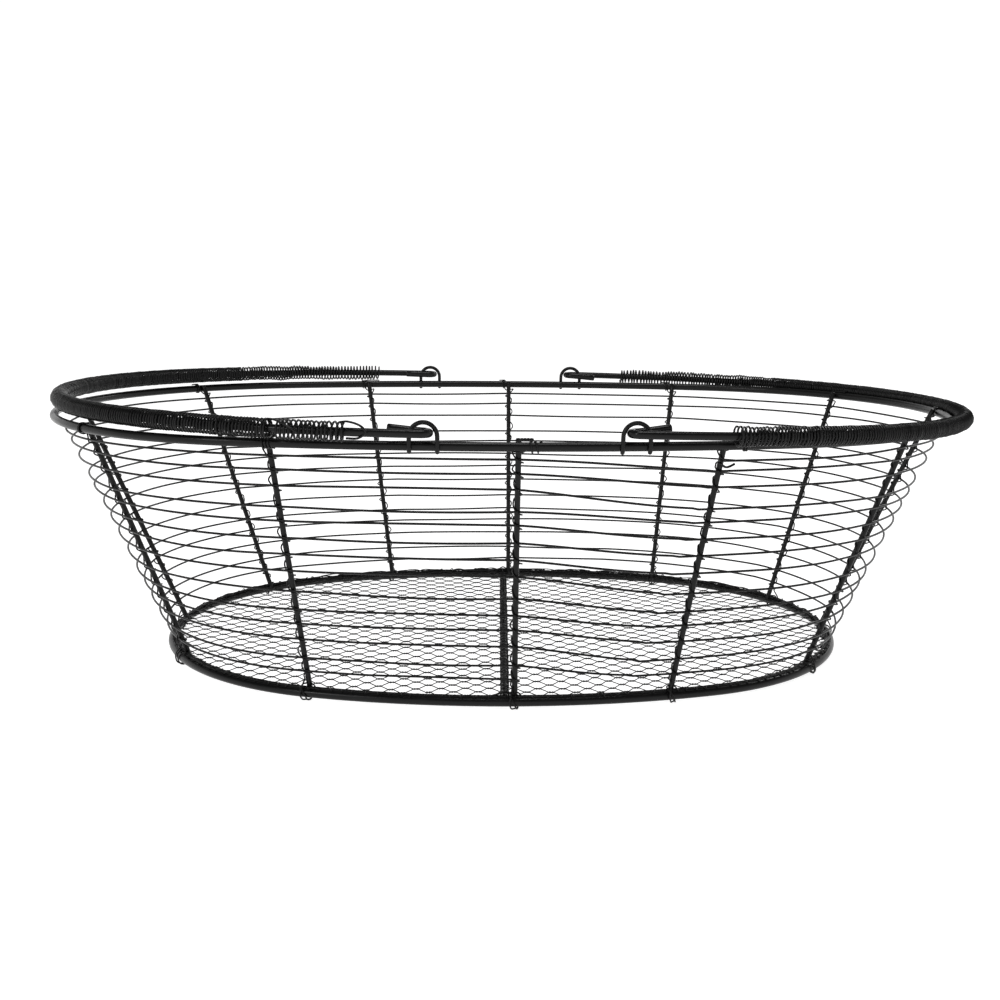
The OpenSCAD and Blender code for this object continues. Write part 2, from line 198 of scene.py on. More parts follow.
class WireMesh:
    """Collects swept wires into one mesh."""

    def __init__(self):
        self.points, self.faces, self.count = [], [], 0

    def add(self, path, radius, sides, closed=False):
        """Sweeps a round section along the path."""
        path = np.asarray(path, float)
        tangents = headings(path, closed)
        normals = carried_normals(tangents)
        normals = unit(normals - tangents * (normals * tangents).sum(-1, keepdims=True))
        sideways = np.cross(tangents, normals)
        radius = np.full(len(path), float(radius))
        if not closed:
            ends = self.rounded(path, tangents, normals, sideways, radius)
            path, tangents, normals, sideways, radius = ends
        a = 2 * math.pi * np.arange(sides) / sides
        rings = path[:, None] + radius[:, None, None] * (
            np.cos(a)[None, :, None] * normals[:, None] + np.sin(a)[None, :, None] * sideways[:, None]
        )
        n = len(path)
        index = self.count + np.arange(n * sides).reshape(n, sides)
        ahead = np.roll(index, -1, 0) if closed else index[1:]
        here = index if closed else index[:-1]
        quads = np.stack([here, np.roll(here, -1, 1), np.roll(ahead, -1, 1), ahead], -1).reshape(-1, 4)
        self.points.append(rings.reshape(-1, 3))
        self.faces.extend(quads.tolist())
        self.count += n * sides
        if not closed:
            self.faces.append(index[0][::-1].tolist())
            self.faces.append(index[-1].tolist())

    @staticmethod
    def rounded(path, tangents, normals, sideways, radius):
        """Adds two smaller rings past each end, so that a cut end has a rounded edge."""
        steps = ((0.22, 0.88), (0.34, 0.6))
        first, last = [], []
        for forward, share in steps:
            first.insert(0, (path[0] - tangents[0] * radius[0] * forward, radius[0] * share))
            last.append((path[-1] + tangents[-1] * radius[-1] * forward, radius[-1] * share))
        path = np.array([p for p, _ in first] + list(path) + [p for p, _ in last])
        radius = np.array([r for _, r in first] + list(radius) + [r for _, r in last])
        repeat = lambda v: np.concatenate([v[:1], v[:1], v, v[-1:], v[-1:]])
        return path, repeat(tangents), repeat(normals), repeat(sideways), radius

    def build(self, name, body, material, replaced):
        mesh = bpy.data.meshes.new(name)
        mesh.from_pydata((np.concatenate(self.points) * MM).tolist(), [], self.faces)
        mesh.polygons.foreach_set("use_smooth", [len(f) == 4 for f in self.faces])
        mesh.materials.append(material)
        mesh.update()
        piece = bpy.data.objects.new(name, mesh)
        bpy.context.scene.collection.objects.link(piece)
        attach(piece, body)
        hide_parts(*replaced)


def smooth_path(points, step):
    """A Catmull-Rom curve through the points, resampled about every step."""
    p = np.asarray(points, float)
    p = np.concatenate([2 * p[:1] - p[1:2], p, 2 * p[-1:] - p[-2:-1]])
    out = []
    for i in range(1, len(p) - 2):
        a, b, c, d = p[i - 1 : i + 3]
        count = max(1, int(np.linalg.norm(c - b) / step))
        t = (np.arange(count) / count)[:, None]
        out.append(0.5 * (2 * b + (c - a) * t + (2 * a - 5 * b + 4 * c - d) * t**2
            + (3 * b - a - 3 * c + d) * t**3))
    return np.concatenate(out + [p[-2:-1]])


def wander(count, reach, scale):
    """A smooth random wander of the given reach, with a new aim about every scale steps."""
    knots = max(4, int(count / scale) + 3)
    aims = random.uniform(-reach, reach, knots)
    t = np.linspace(0, knots - 1.001, count)
    i = t.astype(int)
    f = t - i
    f = f * f * (3 - 2 * f)
    return aims[i] * (1 - f) + aims[np.minimum(i + 1, knots - 1)] * f


# ---------------------------------------------------------------- materials


def black_steel(name, grey, roughness, grain, bump):
    """Satin black paint: faint patches in its colour and gloss, and a fine grain."""
    material = bpy.data.materials.new(name)
    material.use_nodes = True
    nodes, links = material.node_tree.nodes, material.node_tree.links
    nodes.clear()
    out = nodes.new("ShaderNodeOutputMaterial")
    shader = nodes.new("ShaderNodeBsdfPrincipled")
    place = nodes.new("ShaderNodeTexCoord")
    patches = nodes.new("ShaderNodeTexNoise")
    fine = nodes.new("ShaderNodeTexNoise")
    tone = nodes.new("ShaderNodeValToRGB")
    gloss = nodes.new("ShaderNodeMapRange")
    grain_bump = nodes.new("ShaderNodeBump")
    patches.inputs["Scale"].default_value = 45.0
    patches.inputs["Detail"].default_value = 4.0
    fine.inputs["Scale"].default_value = grain
    fine.inputs["Detail"].default_value = 3.0
    low, high = tone.color_ramp.elements
    low.position, high.position = 0.3, 0.72
    low.color = (grey * 0.75, grey * 0.75, grey * 0.78, 1)
    high.color = (grey * 1.5, grey * 1.48, grey * 1.5, 1)
    gloss.inputs["From Min"].default_value = 0.3
    gloss.inputs["From Max"].default_value = 0.7
    gloss.inputs["To Min"].default_value = roughness - 0.06
    gloss.inputs["To Max"].default_value = roughness + 0.09
    grain_bump.inputs["Strength"].default_value = bump
    grain_bump.inputs["Distance"].default_value = 0.0002
    shader.inputs["Metallic"].default_value = 0.0
    shader.inputs["IOR"].default_value = 1.5
    shader.inputs["Specular IOR Level"].default_value = 0.2
    links.new(place.outputs["Object"], patches.inputs["Vector"])
    links.new(place.outputs["Object"], fine.inputs["Vector"])
    links.new(patches.outputs["Fac"], tone.inputs["Fac"])
    links.new(tone.outputs["Color"], shader.inputs["Base Color"])
    links.new(patches.outputs["Fac"], gloss.inputs["Value"])
    links.new(gloss.outputs["Result"], shader.inputs["Roughness"])
    links.new(fine.outputs["Fac"], grain_bump.inputs["Height"])
    links.new(grain_bump.outputs["Normal"], shader.inputs["Normal"])
    links.new(shader.outputs["BSDF"], out.inputs["Surface"])
    return material


RING_PAINT = black_steel("ring_paint", 0.003, 0.27, 900.0, 0.25)
RIB_PAINT = black_steel("rib_paint", 0.003, 0.33, 1100.0, 0.25)
SIDE_PAINT = black_steel("side_paint", 0.0035, 0.33, 1500.0, 0.15)
MESH_PAINT = black_steel("mesh_paint", 0.0035, 0.4, 1500.0, 0.2)
LASH_PAINT = black_steel("lash_paint", 0.0035, 0.34, 1500.0, 0.2)
STAPLE_PAINT = black_steel("staple_paint", 0.003, 0.3, 1000.0, 0.3)
HANDLE_PAINT = black_steel("handle_paint", 0.003, 0.24, 900.0, 0.22)
COIL_PAINT = black_steel("coil_paint", 0.003, 0.27, 1400.0, 0.15)

# ---------------------------------------------------------------- rings and ribs


def bent_ring(oval, wobble):
    """A hand-bent ring's centre line: the oval, with a slight wander in its height."""
    angles = oval.even_angles(0, 2 * math.pi, 3.0)[:-1]
    path = oval.point(angles)
    waves = sum(wobble / k * np.sin(k * angles + random.uniform(0, 6)) for k in (2, 3, 5))
    path[:, 2] += waves
    return path


def rings():
    for name, oval, wobble in (("rim_ring", RIM, 0.12), ("base_ring", BASE, 0.0)):
        ring = WireMesh()
        ring.add(bent_ring(oval, wobble), RING_WIRE / 2, ROD_SIDES, closed=True)
        ring.build(name + "_rod", "basket", RING_PAINT, [name])


def rib_angle(oval, number, level):
    """The normal's angle at a rib, at the rim (level 0) or the base (level 1)."""
    if number <= SIDE_RIBS:
        return oval.angle_at(FRONT_RIB_X[number - 1][level], -1)
    if number == SIDE_RIBS + 1:
        return math.asin(RIGHT_RIB_Y[level] / oval.end)
    if number <= 2 * SIDE_RIBS + 1:
        return oval.angle_at(BACK_RIB_X[number - SIDE_RIBS - 2][level], 1)
    return math.pi - math.asin(LEFT_RIB_Y[level] / oval.end)


# How far the side wire strays up or down from its course where it passes a rib
COURSE_STRAY = 0.35
# How far a rib may bow to either side at mid height
RIB_BOW = 0.4


class Rib:
    """A rib's line, the directions across it, and the heights where the side wire passes it."""

    def __init__(self, number):
        self.number = number
        self.name = f"rib_{number:02d}"
        self.foot, self.top = node_axis(self.name)
        self.angle = rib_angle(RIM, number, 0)
        self.foot_angle = rib_angle(BASE, number, 1)
        self.out = outward(self.angle)
        self.along = np.cross(UP, self.out)
        axis = unit(self.top - self.foot)
        self.away = unit(self.out - axis * (self.out @ axis))
        self.courses = COURSE_Z + random.uniform(-COURSE_STRAY, COURSE_STRAY, len(COURSE_Z))

    def point(self, z):
        z = np.asarray(z, float)
        t = (z - self.foot[2]) / (self.top[2] - self.foot[2])
        return self.foot + t[..., None] * (self.top - self.foot)

    def near(self, along, away, z):
        return self.point(z) + along * self.along + away * self.away


def ribs(all_ribs):
    for rib in all_ribs:
        z = np.linspace(BASE.z + 0.5, rib.top[2], 40)
        bow = np.sin(np.linspace(0, math.pi, len(z)))[:, None]
        path = rib.point(z) + bow * (rib.along * random.uniform(-RIB_BOW, RIB_BOW))
        mesh = WireMesh()
        mesh.add(path, RIB_WIRE / 2, THIN_ROD_SIDES)
        mesh.build(rib.name + "_rod", "basket", RIB_PAINT, [rib.name])


# ---------------------------------------------------------------- side wire

# Inset of the side wire's middle from the rings' middles where it passes a rib
SIDE_INSET = 2.15
FIRST_COURSE_DROP = 1.5


def side_wire(all_ribs):
    """One length, wound down the ribs: from rib 4 it goes round to rib 3 and steps down to rib 4 again."""
    turn = 2 * math.pi
    start = all_ribs[STEP_TO - 1].angle
    order = sorted(all_ribs, key=lambda rib: (rib.angle - start + 1e-6) % turn)
    stops = [(rib.angle - start + 1e-6) % turn for rib in order] + [turn]
    parts = []
    for k in range(len(COURSE_Z)):
        heights = [rib.courses[k] for rib in order]
        if k == 0:
            heights[0] -= FIRST_COURSE_DROP
        last = k == len(COURSE_Z) - 1
        if not last:
            heights.append(order[0].courses[k + 1])
        oval = wall_oval(COURSE_Z[k])
        angles = oval.even_angles(start, start + stops[len(heights) - 1], 6.5)
        if not last:
            angles = angles[:-1]
        turned = angles - start
        bay = np.clip(np.searchsorted(stops, turned, side="right") - 1, 0, len(heights) - 2)
        s = (turned - np.take(stops, bay)) / (np.take(stops, bay + 1) - np.take(stops, bay))
        ease = s * s * (3 - 2 * s) * 0.4 + s * 0.6
        bow = np.sin(math.pi * s)
        sag = random.uniform(-0.9, 0.5, len(heights))[bay]
        pull = random.uniform(0.2, 0.9, len(heights))[bay]
        z = np.take(heights, bay) * (1 - ease) + np.take(heights, bay + 1) * ease + sag * bow
        share = (z - COURSE_Z[k]) / WALL_HEIGHT
        spread = share * (RIM.length - BASE.length) * 0.8
        path = oval.point(angles) + outward(angles) * (spread - SIDE_INSET - pull * bow)[:, None]
        path[:, 2] = z
        parts.append(path)
    wire = WireMesh()
    wire.add(np.concatenate(parts), SIDE_WIRE / 2, SIDE_WIRE_SIDES)
    rib = order[0]
    z = rib.courses[0] - FIRST_COURSE_DROP
    hook = [rib.near(-2.5, 2.2, z - 0.3), rib.near(0, 2.75, z - 1.6), rib.near(2.6, 2.2, z - 3.0),
        rib.near(5.0, 1.6, z - 2.8), rib.near(7.4, 1.4, z - 1.6)]
    wire.add(smooth_path(hook, 0.6), SIDE_WIRE / 2, SIDE_WIRE_SIDES)
    wire.build("side_wire_wound", "basket", SIDE_PAINT, ["side_wire"])


# ---------------------------------------------------------------- lashings

LASH_R = LASH_WIRE / 2
RIM_TURN = RING_WIRE / 2 + LASH_R
# One turn of a lashing, from one course to the next: (share of the way down, along, away from the rib,
# how much of the turn's slack shows there on the left, and on the right)
LASH_TURN = [
    (0.00, 0.0, 3.1, 0.0, 0.0),
    (0.13, 1.5, 2.3, 0.0, 0.0),
    (0.23, 2.2, 0.8, 0.0, 1.0),
    (0.31, 1.7, -1.4, 0.0, 0.2),
    (0.38, 0.0, -2.1, 0.0, 0.0),
    (0.46, -1.7, -1.4, 0.1, 0.0),
    (0.56, -2.1, 0.0, 0.6, 0.0),
    (0.70, -2.1, 0.6, 1.0, 0.0),
    (0.87, -1.5, 1.9, 0.35, 0.0),
]


def rim_turns(rib, from_angle, to_angle, from_along, to_along, lift):
    """Turns round the rim's rod beside a rib. Angles are in degrees, from outward (0) by way of up (90)."""
    count = max(3, int(abs(to_angle - from_angle) / 18))
    a = np.radians(np.linspace(from_angle, to_angle, count))
    u = np.linspace(from_along, to_along, count)
    centre = RIM.point(rib.angle)
    r = RIM_TURN + lift
    ring = np.cos(a)[:, None] * rib.out + np.sin(a)[:, None] * UP
    return list(centre + u[:, None] * rib.along + r * ring)


# How each lashing is tied to the rim: (where its tail lies along the rim, from and to; where its turns
# are, from and to; how many there are)
RIM_TIES = {
    1: ((9, 4), (2.5, 4.5), 2), 2: ((-17, -3), (-1.5, 3.5), 3), 3: ((-2, 7), (5.5, 11.5), 2),
    4: ((7, 3), (8.5, 11), 2), 5: ((-9, -3), (-2, -5), 2), 6: ((8, 3), (2.5, 5), 2),
    7: ((-8, -3), (2.5, 4.5), 2), 8: ((9, 3), (3, 5.5), 2), 9: ((7, 3), (2.5, 4.5), 2),
    10: ((-8, -2), (2.5, 5), 2), 11: ((8, 3), (2.5, 4.5), 2), 12: ((9, 4), (3, 5), 2),
}
# How far below the middle of the rim's rod a lashing comes down to its rib
BELOW_RIM = 3.6
# How far above z = 0 the lowest turns are drawn, as the curve through their points dips lower
LOWEST_TURN = 0.35
# How far a lashing may hang out to the left of its rib between two courses
SLACKS = [0.0, 0.1, 0.3, 0.6, 1.1]


def hooked(rib):
    """Beside the resting right handle the lashings only hook over the rim from the inside."""
    return SIDE_RIBS <= rib.number <= SIDE_RIBS + 2


def lashing_path(rib):
    tail, turns, count = RIM_TIES[rib.number]
    path = rim_turns(rib, 100, 84, tail[0], tail[1], 0.2)
    if hooked(rib):
        path += rim_turns(rib, 100, 250, turns[0], turns[1], 0.05)
    else:
        path += rim_turns(rib, 70, 70 - 360 * count, turns[0], turns[1], 0.05)
    z = RIM.z - BELOW_RIM
    path += [rib.near(2.6, -0.9, z), rib.near(0.6, -2.2, z - 0.3), rib.near(-2.2, -1.0, z + 0.1)]
    heights = list(rib.courses)
    lower = (heights[-1] + BASE.z) / 2 + 1.0
    path += [rib.near(-3.1 - random.uniform(0, 0.6), 0.5, z + 0.3), rib.near(-1.8, 1.9, heights[0] + 1.3)]
    ends = heights[1:] + [lower]
    for top, bottom in zip(heights, ends):
        slack = random.choice(SLACKS)
        nub = random.uniform(0.1, 0.6)
        for share, along, away, left, right in LASH_TURN:
            x = along - slack * left + nub * right
            path.append(rib.near(x, away, top + share * (bottom - top)))
    foot = BASE.point(rib.foot_angle)
    out, side = outward(rib.foot_angle), np.cross(UP, outward(rib.foot_angle))
    low = -(BASE.z - LASH_R - LOWEST_TURN)
    # Two turns round the base ring, and a tail along it: how far along, outward and up from its middle
    base_tie = [
        (-2.6, 2.9, 3.6), (-3.2, 3.6, 0.4), (-2.2, 2.9, low * 0.8), (-0.6, 0.8, low), (1.4, -1.2, low),
        (2.6, -3.0, 0.2), (3.2, -2.8, 3.2), (1.2, -3.6, 4.4), (-1.8, -3.2, 4.6), (-3.4, -0.6, 4.4),
        (-2.4, 2.2, 2.6), (-0.8, 3.1, 0.2), (0.6, 2.2, low * 0.85), (1.6, -0.6, low), (2.4, -2.9, -0.6),
        (4.2, -2.4, 2.6), (6.6, -1.4, 3.2), (9.0, -0.8, 3.0),
    ]
    path += [foot + u * side + v * out + w * UP for u, v, w in base_tie]
    return smooth_path(path, 0.7)


# Where the spare wire of two lashings is twisted into a bundle along the rim's top
BUNDLES = {2: (-8.0, 5.0), 3: (-1.5, 7.5)}
BUNDLE_STRANDS = 3
BUNDLE_RADIUS = 0.5
BUNDLE_PITCH = 5.0
BUNDLE_STEP = 0.4
# How far the bundle's middle is from the middle of the rim's rod
BUNDLE_REACH = 3.7


def rim_bundle(wire, rib):
    """Strands twisted round each other, lying on the rim's top a little behind its middle."""
    start, stop = BUNDLES[rib.number]
    u = np.arange(start, stop, BUNDLE_STEP)
    line = RIM.point(rib.angle) + u[:, None] * rib.along + BUNDLE_REACH * unit(UP - 0.25 * rib.out)
    for strand in range(BUNDLE_STRANDS):
        a = 2 * math.pi * (u / BUNDLE_PITCH + strand / BUNDLE_STRANDS)
        twist = BUNDLE_RADIUS * (np.cos(a)[:, None] * rib.out + np.sin(a)[:, None] * UP)
        wire.add(line + twist, LASH_R, LASH_SIDES)


def lashings(all_ribs):
    for rib in all_ribs:
        wire = WireMesh()
        wire.add(lashing_path(rib), LASH_R, LASH_SIDES)
        if rib.number in BUNDLES:
            rim_bundle(wire, rib)
        number = rib.name[-2:]
        wire.build(f"lashing_{number}_wire", "basket", LASH_PAINT, [f"lashing_{number}"])


# ---------------------------------------------------------------- floor

KNOT_LENGTH = 3.0
KNOT_RADIUS = 0.36
FLOOR_Z = node_size("floor_mesh")[0][2] + 0.85
LANE = DIAMOND_WIDTH / 2


def floor_lane(lane):
    """A strand of netting: it runs along X and twists with the strands beside it, left and right in turn."""
    half = int(BASE.length / DIAMOND_LENGTH) + 2
    psi = np.arange(5) / 4
    points = []
    shift = (lane % 2) * DIAMOND_LENGTH / 2
    for n in range(-2 * half, 2 * half + 1):
        side = 1 if n % 2 == 0 else -1
        x = shift + n * DIAMOND_LENGTH / 2 + (psi - 0.5) * KNOT_LENGTH
        y = LANE * (lane + side / 2) - side * KNOT_RADIUS * np.cos(2 * math.pi * psi)
        z = FLOOR_Z + side * KNOT_RADIUS * np.sin(2 * math.pi * psi)
        points.append(np.stack([x, y, z], -1))
    return settled(np.concatenate(points))


def settled(points):
    """Netting laid by hand: cells drift a little, and it sags between its supports."""
    x, y = points[:, 0], points[:, 1]
    moved = points.copy()
    moved[:, 0] += 0.7 * np.sin(0.031 * y + 0.4) + 0.35 * np.sin(0.07 * x + 0.11 * y)
    moved[:, 1] += 0.8 * np.sin(0.017 * x + 1.1) + 0.3 * np.sin(0.09 * y + 0.05 * x + 2)
    moved[:, 2] += 0.35 * np.sin(0.05 * x + 0.3) * np.sin(0.06 * y + 1.0)
    return moved


def inside(oval, points):
    angle_x = np.abs(points[:, 0]) - oval.length + oval.end
    y = np.abs(points[:, 1])
    in_end = np.hypot(angle_x, y) <= oval.end
    in_side = np.hypot(points[:, 0], y + oval.side - oval.width) <= oval.side
    at_end = (angle_x > 0) & (np.arctan2(y, angle_x) < oval.turn)
    return np.where(at_end, in_end, in_side)


def floor_mesh():
    mesh = WireMesh()
    edge = BASE.inset(RING_WIRE / 2 + 0.4)
    lanes = int(BASE.width / LANE)
    for lane in range(-lanes, lanes + 1):
        strand = floor_lane(lane)
        kept = inside(edge, strand)
        runs = np.flatnonzero(np.diff(np.concatenate([[False], kept, [False]]).astype(int)))
        for first, last in zip(runs[::2], runs[1::2]):
            if last - first > 4:
                mesh.add(strand[first:last], MESH_WIRE / 2, MESH_SIDES)
    folded_edge(mesh)
    mesh.build("floor_netting", "basket", MESH_PAINT, ["floor_mesh"])


def ring_point(angle, out, up):
    across = outward(angle) * np.asarray(out)[..., None]
    return BASE.point(angle) + across + np.multiply.outer(np.asarray(up), UP)


def roughness_at(angle):
    """The netting's edge is folded neatly at the front and bunched up at the back and at the ends."""
    return float(np.clip(0.5 + 0.9 * math.sin(angle) + 0.45 * abs(math.cos(angle)), 0.0, 1.0))


# The wires along the netting's edge: how far out of and above the ring's middle, and how far they stray
EDGE_WIRES = ((-3.2, 1.7, 0.3), (-2.4, 2.6, 0.5), (-2.7, 3.0, 1.2), (-2.0, 3.6, 1.3), (-3.4, 2.4, 1.2),
    (-1.2, 3.2, 0.9), (-0.4, 3.0, 0.7), (-2.9, 4.0, 1.1))
# How far apart the folded strands lie, and the points of the wires along the edge
FOLD_STEP = 6.6
EDGE_STEP = 2.2


def folded_edge(mesh):
    """Strands folded over the base ring, and the netting's edge wires that run along it."""
    angles = BASE.even_angles(0, 2 * math.pi, FOLD_STEP)[:-1]
    step = np.append(np.diff(angles), angles[0] + 2 * math.pi - angles[-1])
    for angle, ahead in zip(angles, step):
        rough = roughness_at(angle)
        peak = RING_WIRE / 2 + 0.3 + rough * random.uniform(0.3, 1.9)
        lean = random.uniform(-0.3, 0.3) * ahead
        share = np.array([0, 0.15, 0.3, 0.42, 0.5, 0.6, 0.8, 1.0])
        a = angle + share * ahead * 0.8 + lean * np.array([0, 0, 0.5, 1, 1, 1, 0.5, 0])
        out = [-6.5, -3.6, -2.0, 0.2 - rough, 1.3 - 1.6 * rough, 0.3 - rough, -2.4, -5.5]
        up = [1.6, 2.2, 2.9, peak, peak - 0.35, peak - 0.1, 2.9, 1.8]
        path = np.array([ring_point(t, o, u) for t, o, u in zip(a, out, up)])
        mesh.add(smooth_path(path, 0.8), MESH_WIRE / 2, MESH_SIDES)
    around = BASE.even_angles(0, 2 * math.pi, EDGE_STEP)[:-1]
    rough = np.array([roughness_at(t) for t in around])
    for out, up, spread in EDGE_WIRES:
        lift = np.where(rough > 0.35, 1.0, 0.45)
        o = out + wander(len(around), 0.35, 5)
        stray = wander(len(around), spread, 4) * rough * lift
        u = np.minimum(up, 2.7) + (up - 2.7) * rough * (up > 2.7) + stray
        o[-8:] += (o[0] - o[-1]) * np.linspace(0, 1, 8)
        u[-8:] += (u[0] - u[-1]) * np.linspace(0, 1, 8)
        mesh.add(ring_point(around, o, u), MESH_WIRE / 2 + 0.08, MESH_SIDES, closed=True)


def brace():
    front, back = node_axis("base_brace")
    along = unit(back - front)
    across = np.cross(along, UP)
    length = np.linalg.norm(back - front)
    rod = WireMesh()
    rod.add(np.linspace(front, back, 50), RIB_WIRE / 2, THIN_ROD_SIDES)
    rod.build("base_brace_rod", "basket", RIB_PAINT, ["base_brace"])
    wire = WireMesh()
    turns = length / (DIAMOND_WIDTH / 2)
    t = np.linspace(0, 1, int(turns * 14))
    a = 2 * math.pi * turns * t + wander(len(t), 0.5, 20)
    reach = 2.25 + wander(len(t), 0.2, 9)
    top = FLOOR_Z + MESH_WIRE - front[2] + LASH_R
    bottom = RIB_WIRE / 2 + LASH_R
    up = (top - bottom) / 2 + (top + bottom) / 2 * np.sin(a)
    bound = front + length * t[:, None] * along + (reach * np.cos(a))[:, None] * across + up[:, None] * UP
    wire.add(bound, LASH_R, LASH_SIDES)
    brace_end_ties(wire, front[0], -1)
    brace_end_ties(wire, back[0], 1)
    wire.build("brace_binding", "basket", LASH_PAINT, ["brace_ties"])


def brace_end_ties(wire, x, back):
    """Short wires that cross over the brace's end and are tucked in along the ring."""
    angle = BASE.angle_at(x, back)
    for spread, peak, shift in ((8.5, 5.6, 0.4), (6.0, 4.4, -0.9)):
        u = np.array([-1.25, -0.75, -0.35, 0, 0.35, 0.8, 1.2]) * spread
        up = np.array([1.6, 3.1, 4.2, peak, 4.4, 3.2, 1.2])
        out = np.array([-3.0, -3.0, -2.4, -2.0, -2.4, -3.0, -3.4]) + shift
        along = np.array([-math.sin(angle), math.cos(angle), 0])
        points = BASE.point(angle) + u[:, None] * along + out[:, None] * outward(angle) + up[:, None] * UP
        wire.add(smooth_path(points, 0.7), LASH_R, LASH_SIDES)


# ---------------------------------------------------------------- staples


def staples():
    for name in ("front_left", "front_right", "back_left", "back_right"):
        node = "staple_" + name
        low, high = node_size(node)
        middle = (low + high) / 2
        angle = RIM.angle_at(middle[0], np.sign(middle[1]))
        centre = RIM.point(angle)
        out, along = outward(angle), np.cross(UP, outward(angle))
        arch = (high[0] - low[0] - STAPLE_WIRE) / 2 / abs(along[0])
        reach = (RING_WIRE + STAPLE_WIRE) / 2 + 0.05
        spring = high[2] - STAPLE_WIRE / 2 - arch - centre[2]
        curl = np.radians(np.linspace(-50, 0, 8))
        legs = {}
        for side in (-1, 1):
            beside = centre + side * arch * along
            foot = [beside + reach * (math.cos(c) * out + math.sin(c) * UP) for c in curl]
            legs[side] = foot + [beside + reach * out + spring * 0.5 * UP]
        lean = random.uniform(-0.5, 0.5)
        bend = [centre + reach * out - lean * math.sin(t) * out + arch * math.cos(t) * -along
            + (spring + arch * math.sin(t)) * UP for t in np.linspace(0, math.pi, 20)]
        path = legs[-1] + bend + legs[1][::-1]
        wire = WireMesh()
        wire.add(smooth_path(path, 0.8), STAPLE_WIRE / 2, THIN_ROD_SIDES)
        wire.build(node + "_wire", "basket", STAPLE_PAINT, [node])


# ---------------------------------------------------------------- handles


class Handle:
    """A handle's centre line, drawn towards +X and then turned to its side and leant about its hinge."""

    def __init__(self, side, reach, end_radius, lean):
        self.name = "right" if side > 0 else "left"
        self.side, self.lean = side, math.radians(lean)
        hinges = {j["child"]: np.array(j["pos_m"]) / MM for j in frame["joints"]}
        self.hinge = hinges[self.name + "_handle"]
        # Both drawings start from the middle between the two hinge lines
        self.middle_x = (hinges["left_handle"][0] + hinges["right_handle"][0]) / 2
        self.hinge_x = abs(self.hinge[0] - self.middle_x)
        self.hook_x = self.hinge_x + HOOK_RADIUS
        rod = node_size(self.name + "_handle_rod")
        self.half_width = (rod[1][1] - rod[0][1] - HANDLE_WIRE) / 2
        self.oval = Oval(reach - self.hook_x, self.half_width, end_radius, 0.0)

    def placed(self, points):
        """From the handle's own flat drawing to the frame."""
        p = np.asarray(points, float)
        x, y, z = p[:, 0] - self.hinge_x, p[:, 1], p[:, 2]
        cos, sin = math.cos(self.lean), math.sin(self.lean)
        x, z = x * cos - z * sin, x * sin + z * cos
        x = self.middle_x + self.side * (x + self.hinge_x)
        return np.stack([x, self.side * y, z + self.hinge[2]], -1)

    def line(self, angles):
        return self.oval.point(angles) + np.array([self.hook_x, 0, 0])

    def angle_at(self, x, back):
        return self.oval.angle_at(x - self.hook_x, back)


# The hooks' return legs, and how far the free end of each lies above the handle's arm, front and back
LEG = 16.0
LEG_LIFT = {("left", -1): 1.6, ("left", 1): 0.3, ("right", -1): 2.6, ("right", 1): -1.2}


def handle_rod(handle):
    staple_y = handle.half_width - HOOK_RADIUS
    arms = handle.line(handle.oval.even_angles(-math.pi / 2, math.pi / 2, 3.5))
    turn = np.radians(np.linspace(90, 270, 18))
    hooks = {}
    for back in (-1, 1):
        x = handle.hook_x + HOOK_RADIUS * np.cos(turn)
        y = back * (staple_y + HOOK_RADIUS * np.sin(turn))
        bend = np.stack([x, y, 0 * turn], -1)
        lift = LEG_LIFT[handle.name, back * handle.side]
        leg_y = back * (staple_y - HOOK_RADIUS)
        leg = [[handle.hook_x + u, leg_y, lift * u / LEG] for u in (4, 8, 12, LEG)]
        hooks[back] = np.concatenate([bend[1:-1], leg])
    path = np.concatenate([hooks[-1][::-1], arms, hooks[1]])
    rod = WireMesh()
    rod.add(handle.placed(path), HANDLE_WIRE / 2, ROD_SIDES)
    name = handle.name + "_handle_rod"
    rod.build(name + "_bent", handle.name + "_handle", HANDLE_PAINT, [name])


COIL_STEP = 0.5
POINTS_PER_TURN = 13


def coil(wire, handle, start, stop, pitch, radius, slack, ease=0.0):
    """Winds wire round a handle between two of the oval's angles.

    The pitch is its value at the start and its change over the way. The turns' radius strays by up to twice
    the slack, and their middle rises and sinks by the ease.
    """
    fine = handle.oval.even_angles(start, stop, COIL_STEP)
    s = np.linspace(0, 1, len(fine))
    p = pitch[0] + pitch[1] * s
    phase = 2 * math.pi * np.cumsum(COIL_STEP / p)
    count = int((phase[-1] - phase[0]) / (2 * math.pi) * POINTS_PER_TURN)
    even = np.linspace(phase[0], phase[-1], count)
    share = np.interp(even, phase, s)
    angles = np.interp(share, s, fine)
    centre = handle.line(angles)
    r = radius + wander(count, slack, 9) + wander(count, slack, 40)
    sink = wander(count, ease, 60)
    out = outward(angles)
    path = centre + (r * np.cos(even))[:, None] * out + (r * np.sin(even) + sink)[:, None] * UP
    along = np.cross(UP, out)
    pitch_here = p[np.searchsorted(s, share).clip(0, len(p) - 1)]
    path = path + (0.45 * pitch_here * wander(count, 0.6, 26))[:, None] * along
    wire.add(handle.placed(path), COIL_WIRE / 2, COIL_SIDES)


# Where the grips end, as distances along X from the middle between the hinges
LEFT_GRIP_END = 94.5
RIGHT_GRIP_FRONT_END = 105.5
RIGHT_GRIP_BACK_END = 93.5
# Two loose wire ends at the front of the left grip: that distance, and how far above and outside the rod
LEFT_COIL_ENDS = [
    [(134, 4.7, -1), (131, 4.9, 1), (127, 4.2, 3.5), (121, 1.5, 5.4), (116, -1.5, 5.6)],
    [(96, 4.9, 0), (92, 5.4, 1.5), (86, 3.9, 3.4), (83, 0.5, 3.2), (87, -2.9, 1.0), (93, -3.4, -1.0)],
]


